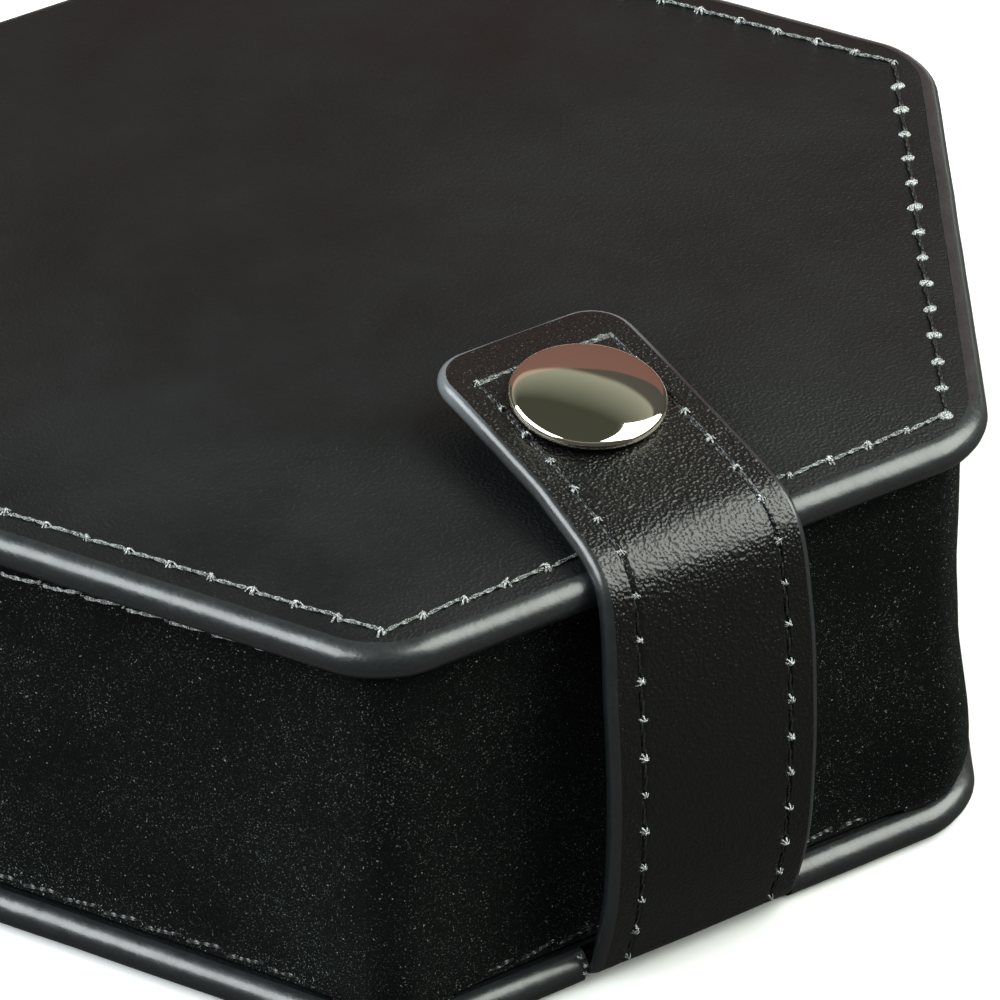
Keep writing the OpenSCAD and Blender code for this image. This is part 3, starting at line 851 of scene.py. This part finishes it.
leather_blank = flat_strap("strap_leather", EDGE_R * 0.85, -STRAP_T / 2, 0)
rows = [side * (ROW_X + k * GROOVE) for side in (-1, 1) for k in (-1, -0.5, 0, 0.5, 1)]
slice_along(leather_blank, rows + [-5 * MM, -2.5 * MM, 0, 2.5 * MM, 5 * MM])
slice_across(leather_blank, 0, ROUTE.length - 1 * MM, SLICE)
select_all(leather_blank)
for k in (-1, -0.5, 0, 0.5, 1):
    bpy.ops.mesh.select_all(action="SELECT")
    bpy.ops.mesh.bisect(plane_co=(0, END_ROW_S + k * GROOVE, 0), plane_no=(0, 1, 0))
reshape(leather_blank, groove_and_crown)

lining_blank = flat_strap("strap_lining", EDGE_R * 0.85, -STRAP_T, -STRAP_T / 2)
slice_along(lining_blank, [-5 * MM, 0, 5 * MM])
slice_across(lining_blank, 0, ROUTE.length - 1 * MM, SLICE)

paint_blank = flat_strap("strap_edge_paint", 0, -STRAP_T, 0)
half_round_ring(paint_blank, -STRAP_T, 0, 5)
slice_across(paint_blank, 0, ROUTE.length - 1 * MM, SLICE)

STRAP_PARTS = (
    (leather_blank, "strap_leather", STRAP, "strap_leather",
     ("strap_front_leather", "strap_tail"), ("strap_tip_leather",)),
    (lining_blank, "strap_lining", LEATHER, "strap_leather", ("strap_front_lining",), ("strap_tip_lining",)),
    (paint_blank, "strap_edge_paint", END_HIGHLIGHT_PAINT, "edge_paint",
     ("strap_front_edge_coat",), ("strap_tip_edge_coat",)),
)
for blank, name, material, slot, lower_nodes, upper_nodes in STRAP_PARTS:
    lower, upper = split_strap(blank, name)
    for half, nodes in ((lower, lower_nodes), (upper, upper_nodes)):
        reshape(half, wrap)
        finish_piece(half, None, material, slot, *nodes)
    hang_strap(lower, upper)


def row_holes(x, start, stop, pitch, depth):
    """Needle holes along the strap at one sideways place, with the way the surface faces."""
    count = max(1, round((stop - start) / pitch))
    along = [start + (stop - start) * i / count for i in range(count + 1)]
    holes = [ROUTE.place(across(x, s), s, -depth) for s in along]
    normals = [Vector((0, *ROUTE.outward(s))) for s in along]
    return holes, normals


SINK = 0.22 * MM
STRAP_PITCH = 3.75 * MM
seam_s = MIDDLE_S - (MIDDLE_S - SKIVE_START_S) % STRAP_PITCH
lower_rows, upper_rows = [], []
# The strap's side rows are sewn with the shaded copy: painted shade of the grooves they lie in
for side in (-1, 1):
    low_holes = row_holes(side * ROW_X, SKIVE_START_S, seam_s, STRAP_PITCH, SINK)
    high_holes = row_holes(side * ROW_X, seam_s, END_ROW_S, STRAP_PITCH, SINK)
    lower_rows.append(kit.sew("row", *low_holes, SHADED_THREAD, STRAP_TUFT, SINK))
    upper_rows.append(kit.sew("row", *high_holes, SHADED_THREAD, STRAP_TUFT, SINK))
end_xs = [across(ROW_X * (i / 1.5 - 1), END_ROW_S) for i in range(4)]
end_holes = [ROUTE.place(x, END_ROW_S, -SINK) for x in end_xs]
end_facing = [Vector((0, *ROUTE.outward(END_ROW_S)))] * 4
upper_rows.append(kit.sew("row", end_holes, end_facing, LIT_THREAD, STRAP_END_TUFT, SINK))
strap_row_lower = join("strap_stitches_lower", lower_rows)
strap_row_upper = join("strap_stitches_upper", upper_rows)
finish_piece(strap_row_lower, None, None, "thread", "strap_front_stitching", angle=60)
finish_piece(strap_row_upper, None, None, "thread", "strap_tip_stitching", angle=60)
hang_strap(strap_row_lower, strap_row_upper)

tail_parts = []
for side in (-1, 1):
    holes = [Vector((STRAP_X + side * ROW_X, (-46 + 3.7 * i) * MM, 0.32 * MM)) for i in range(6)]
    tail_parts.append(kit.sew("row", holes, [-UP] * 6))
tail_row = join("strap_tail_stitches", tail_parts)
finish_piece(tail_row, "base", None, "thread", "strap_tail_stitching", angle=60)


foot_ends = []
for i, spot in enumerate([(-10.3, -48.75, 1.6), (-10.15, -48.6, 2.3), (-10.4, -48.2, 2.9)]):
    turn = Vector((0, -1, 0.6)).to_track_quat("Z", "X").to_matrix().to_4x4()
    place = Matrix.Translation(Vector(spot) * MM) @ turn @ Matrix.Scale(FOOT_TUFT, 4)
    foot_ends.append(kit.copy(kit.tufts[i], place, TUFT))
finish_piece(join("strap_foot_thread_ends", foot_ends), "base", None, "thread", angle=60)


# ---------------------------------------------------------------- press stud
CAP_SHARE = 1.02
CAP_FOOT = Vector((STRAP_X + 0.25 * MM, -33.3 * MM, 44.33 * MM))
CAP_LEAN, CAP_TURN = math.radians(6), math.radians(2.5)
# Section of the cap in millimetres: how far inside its rim, and how high
CAP_SECTION = [(1.3, 0), (0.55, 0.12), (0.12, 0.4), (0, 0.72), (0.08, 1.05), (0.35, 1.28), (0.9, 1.47), (2, 1.7),
               (3.4, 1.89), (5, 2.0)]


def snap_cap():
    """Domed cap with a rolled rim: its section, extruded point by point and spun about the stud's axis."""
    cap_low, cap_high = (Vector(c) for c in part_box("snap_cap"))
    r = CAP_SHARE * (cap_high.x - cap_low.x) / 2
    section = [(0, 0)] + [(r - inside * MM, height * MM) for inside, height in CAP_SECTION] + [(0, 2.03 * MM)]
    bpy.ops.object.select_all(action="DESELECT")
    bpy.ops.mesh.primitive_plane_add(size=r)
    obj = named("snap_cap_polished")
    select_all(obj)
    bpy.context.tool_settings.mesh_select_mode = (True, False, False)
    bpy.ops.mesh.select_all(action="SELECT")
    bpy.ops.mesh.merge(type="CENTER")
    for (x, z), (next_x, next_z) in zip(section, section[1:]):
        bpy.ops.mesh.extrude_region_move(TRANSFORM_OT_translate={"value": (next_x - x, 0, next_z - z)})
    bpy.ops.mesh.select_all(action="SELECT")
    bpy.ops.mesh.spin(steps=48, angle=math.radians(360), center=(0, 0, 0), axis=(0, 0, 1))
    bpy.ops.mesh.select_all(action="SELECT")
    bpy.ops.mesh.remove_doubles(threshold=0.001 * MM)
    object_mode()
    modify(obj, "SUBSURF", levels=2, render_levels=2)
    lean = Matrix.Rotation(CAP_LEAN, 4, "X") @ Matrix.Rotation(CAP_TURN, 4, "Y")
    obj.data.transform(Matrix.Translation(CAP_FOOT) @ lean)
    return obj


finish_piece(snap_cap(), "strap_tip", CAP_METAL, "nickel_cap", "snap_cap", angle=80)


# ---------------------------------------------------------------- velvet walls
# How far the wall stands out from straight, in millimetres, by height: on its flats and at its corners
FLAT_PROFILE = [(3.4, 0.5), (3.8, 0.1), (4.4, -0.35), (5.5, -0.5), (10, -0.4), (18, -0.15), (26, 0),
                (37, 0.05)]
CORNER_PROFILE = [(3.4, 0.95), (4.4, 1.5), (6.7, 2.0), (9, 1.95), (11, 1.75), (14.4, 1.2), (18, 0.6), (25, 0.3),
                  (37, 0.35)]
CORNER_REACH = 6.5 * MM


def along(profile, z):
    """Value of a profile at a height, eased between its points."""
    for (z0, v0), (z1, v1) in zip(profile, profile[1:]):
        if z <= z1:
            share = min(1, max(0, (z - z0) / (z1 - z0)))
            return v0 + (v1 - v0) * share
    return profile[-1][1]


def corner_share(p):
    """One at a corner of the wall, fading to nothing along its sides."""
    angle = math.atan2(p.y, p.x)
    nearest = round(angle / math.radians(60)) * math.radians(60)
    away = abs(angle - nearest) * p.xy.length / CORNER_REACH
    return math.exp(-away * away)


def velvet_walls():
    """Outer velvet: over the rim, down the walls and out onto the base plate in a soft foot."""
    foot_z = PLATE_T + 0.3 * MM
    obj = hex_prism("wall_velvet_skin", WALL_A, WALL_R, foot_z, RIM_Z, 10)
    select(obj, "FACE", lambda c, n: abs(n.z) > 0.9)
    bpy.ops.mesh.delete(type="FACE")
    select_all(obj)
    heights = [0.2, 0.45, 0.75, 1.1, 1.6, 2.2, 3] + [4 + 1.4 * i for i in range(20)]
    for height in heights:
        bpy.ops.mesh.select_all(action="SELECT")
        bpy.ops.mesh.bisect(plane_co=(0, 0, foot_z + height * MM), plane_no=(0, 0, 1))
    object_mode()
    cut_long_edges(obj, 15 * MM, 30)

    def shaped(p):
        out = Vector((p.x, p.y, 0)).normalized()
        share = corner_share(p)
        stand = along(FLAT_PROFILE, p.z / MM) * (1 - share) + along(CORNER_PROFILE, p.z / MM) * share
        loose = min(1, max(0, (p.z - foot_z) / (6 * MM)))
        wander = 0.06 * noise.noise(p / (5 * MM)) + 0.14 * noise.noise(p / (17 * MM))
        return p + (stand + loose * wander) * MM * out

    reshape(obj, shaped)
    select(obj, "EDGE", lambda c, d: abs(c.z - foot_z) < 0.01 * MM and abs(d.z) < 0.01 * MM)
    bpy.ops.mesh.extrude_edges_move()
    object_mode()
    outline = hex_outline(SHEET_A + 0.3 * MM, SHEET_R + 0.3 * MM)
    for vertex in obj.data.vertices:
        if vertex.select:
            vertex.co = Vector((*outline(vertex.co.xy), PLATE_T + 0.12 * MM))
    select(obj, "EDGE", lambda c, d: abs(c.z - RIM_Z) < 0.01 * MM and abs(d.z) < 0.01 * MM)
    bpy.ops.mesh.extrude_edges_move()
    object_mode()
    inner = hex_outline(INSIDE_A - 0.05 * MM, 1.2 * MM)
    for vertex in obj.data.vertices:
        if vertex.select:
            vertex.co = Vector((*inner(vertex.co.xy), RIM_Z))
    select(obj, "VERT", lambda c, n: abs(c.z - RIM_Z) < 0.01 * MM
           and c.xy.length < inner(c.xy).length + 0.01 * MM)
    bpy.context.tool_settings.mesh_select_mode = (False, True, False)
    bpy.ops.mesh.extrude_edges_move(TRANSFORM_OT_translate={"value": (0, 0, -1.6 * MM)})
    object_mode()
    select(obj, "EDGE", lambda c, d: abs(c.z - RIM_Z) < 0.01 * MM and d.length < 3 * MM
           and (c.xy.length > WALL_A - 0.5 * MM or c.xy.length < inner(c.xy).length + 0.05 * MM))
    bpy.ops.mesh.bevel(offset=0.6 * MM, segments=4, profile=0.5, affect="EDGES")
    object_mode()
    select_all(obj)
    bpy.ops.mesh.normals_make_consistent(inside=False)
    object_mode()
    modify(obj, "SOLIDIFY", thickness=0.25 * MM, offset=-1)
    return obj


def hex_outline(apothem, corner_r):
    """Gives the point of a rounded hexagon in the same direction as a given point."""
    corner = (apothem - corner_r) / math.cos(math.radians(30))

    def place(xy):
        angle = math.atan2(xy.y, xy.x)
        k = round(angle / math.radians(60))
        local = angle - k * math.radians(60)
        edge_angle = math.radians(30) - abs(local)
        flat = apothem / math.cos(edge_angle)
        b = corner * math.cos(local)
        arc = b + math.sqrt(max(0, b * b - corner * corner + corner_r * corner_r))
        reach = min(flat, arc)
        return Vector((math.cos(angle), math.sin(angle))) * reach

    return place


walls = velvet_walls()
finish_piece(walls, "base", WALL_VELVET, "wall_velvet", "wall_velvet", angle=50)


# ---------------------------------------------------------------- padded inside
def puffed(obj, voxel, cap, pressure=4.0, frames=16):
    """Lets a velvet form swell like cloth round its filling, and holds how far it may go."""
    grow = 10
    obj.data.transform(Matrix.Scale(grow, 4))
    modify(obj, "REMESH", mode="VOXEL", voxel_size=voxel * grow)
    start = [v.co.copy() for v in obj.data.vertices]
    activate(obj)
    cloth = obj.modifiers.new("cloth", "CLOTH")
    cloth.settings.quality = 4
    cloth.settings.use_pressure = True
    cloth.settings.uniform_pressure_force = pressure
    cloth.settings.effector_weights.gravity = 0
    cloth.collision_settings.use_collision = False
    scene = bpy.context.scene
    for step in range(1, frames + 1):
        scene.frame_set(step)
    bpy.ops.object.modifier_apply(modifier=cloth.name)
    scene.frame_set(1)
    limit = cap * grow
    for vertex, home in zip(obj.data.vertices, start):
        move = vertex.co - home
        if move.length > limit:
            vertex.co = home + move.normalized() * limit
    obj.data.transform(Matrix.Scale(1 / grow, 4))
    modify(obj, "SMOOTH", factor=0.5, iterations=8)
    modify(obj, "SUBSURF", levels=1, render_levels=1)
    return obj


def ring_roll(index):
    """A velvet roll on a foam core, pulled in a little at its ends."""
    low, high = (Vector(c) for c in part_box(f"ring_roll_{index}"))
    middle = (low + high) / 2
    radius = (high.z - low.z) / 2 - 0.5 * MM
    length = high.x - low.x - 0.8 * MM
    bpy.ops.object.select_all(action="DESELECT")
    bpy.ops.mesh.primitive_cylinder_add(vertices=32, radius=radius, depth=length, location=middle,
                                        rotation=(0, math.radians(90), 0))
    obj = named(f"ring_roll_velvet_{index}")
    select(obj, "EDGE", lambda c, d: abs(c.x) > length / 2 - 0.01 * MM and abs(d.x) < 0.01 * MM)
    bpy.ops.mesh.bevel(offset=2.2 * MM, segments=5, profile=0.5, affect="EDGES")
    object_mode()
    return obj


def lid_pad():
    """A thin velvet pad inside the lid, crowned in the middle."""
    low, high = (Vector(c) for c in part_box("lid_pad"))
    obj = hex_prism("lid_pad_velvet", high.y - 0.5 * MM, 2 * MM, low.z + 0.7 * MM, high.z - 0.05 * MM, 5)
    return obj


for index in range(1, 7):
    roll = puffed(ring_roll(index), 1.3 * MM, 0.45 * MM)
    uneven(roll, 0.12 * MM, 4 * MM, index)
    finish_piece(roll, "base", LINING_VELVET, "lining_velvet", f"ring_roll_{index}", angle=80)
pad = puffed(lid_pad(), 1.2 * MM, 0.6 * MM, 2.0, 12)
pad_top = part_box("lid_pad")[1][2]
reshape(pad, lambda p: Vector((p.x, p.y, min(p.z, pad_top))))
finish_piece(pad, "lid", LINING_VELVET, "lining_velvet", "lid_pad", angle=80)


# ---------------------------------------------------------------- frame pieces that stay as they are
def dress(material, *nodes):
    """Gives a material to frame pieces."""
    for node in nodes:
        mesh = bpy.data.objects[node].data
        mesh.materials.clear()
        mesh.materials.append(material)


dress(LEATHER, "base_leather", "base_inner_leather", "lid_inner_leather")
dress(BOARD, "base_board", "lid_board", "wall_core", "spine_board")
dress(LINING_VELVET, "wall_lining", "floor_lining", "insert_board")
dress(SNAP_METAL, "snap_stud", "snap_stud_rivet", "snap_socket", "snap_spring")


# ---------------------------------------------------------------- lights and floor
def add_floor():
    """White paper to the eye; to light, a dark bench with the white paper only behind the object."""
    bpy.ops.object.select_all(action="DESELECT")
    bpy.ops.mesh.primitive_plane_add(size=6, location=(0, 0, 0))
    floor = named("floor")
    material, tree, shader, place = new_material("floor_white_paper")
    seen = add(tree, "ShaderNodeLightPath").outputs["Is Camera Ray"]
    depth = add(tree, "ShaderNodeSeparateXYZ", {0: place}).outputs["Y"]
    white = add(tree, "ShaderNodeMath", {0: seen, 1: ramp(tree, depth, 0, 1, 0.1, 0.2)}, operation="MAXIMUM")
    tree.links.new(mix(tree, white.outputs[0], "#474543", "#f7f7f7"), shader.inputs["Base Color"])
    shader.inputs["Roughness"].default_value = 0.9
    shader.inputs["Specular IOR Level"].default_value = 0.1
    floor.data.materials.append(material)


def add_area(name, towards, distance, size, power, colour, roll=0):
    """A soft box in the direction towards, turned to the object."""
    light = bpy.data.lights.new(name, "AREA")
    light.shape = "RECTANGLE"
    light.size, light.size_y = size
    light.energy = power
    light.color = linear(colour)[:3]
    obj = bpy.data.objects.new(name, light)
    bpy.context.scene.collection.objects.link(obj)
    obj.location = Vector(towards).normalized() * distance
    facing = Vector(towards).to_track_quat("Z", "Y").to_matrix() @ Matrix.Rotation(math.radians(roll), 3, "Z")
    obj.rotation_euler = facing.to_euler()
    obj.visible_camera = False


# The bands climb a little towards the right
BAND_AXIS = (-0.17, 0.1, 1)


def add_world():
    """A dim grey room with a band of daylight above its walls and a dark ceiling."""
    world = bpy.data.worlds.new("studio")
    bpy.context.scene.world = world
    world.use_nodes = True
    tree = world.node_tree
    direction = add(tree, "ShaderNodeTexCoord").outputs["Generated"]
    height = add(tree, "ShaderNodeVectorMath", {0: direction, 1: BAND_AXIS}, operation="DOT_PRODUCT")
    bands = add(tree, "ShaderNodeValToRGB", {"Fac": height.outputs["Value"]})
    stops = bands.color_ramp.elements
    stops[0].position, stops[0].color = 0.0, linear("#4f504d")
    stops[1].position, stops[1].color = 0.56, linear("#605f5c")
    for position, colour in ((0.585, "#b3b7aa"), (0.7, "#868b80"), (0.79, "#4d5147"), (1.0, "#4f534c")):
        stops.new(position).color = linear(colour)
    tree.links.new(bands.outputs["Color"], tree.nodes["Background"].inputs["Color"])


add_floor()
add_world()
add_area("key_right", (0.62, -0.4, 0.69), 0.9, (0.95, 0.9), 16, "#f9fff6")
add_area("key_left", (-0.72, 0.22, 0.62), 0.9, (1.2, 0.55), 15, "#f6fcff")
add_area("brick_wall", (0.5, 0.82, 0.33), 1.2, (1.5, 0.83), 0.7, "#ff9286", 10)
bpy.context.scene.view_settings.view_transform = "Standard"

kit.discard()
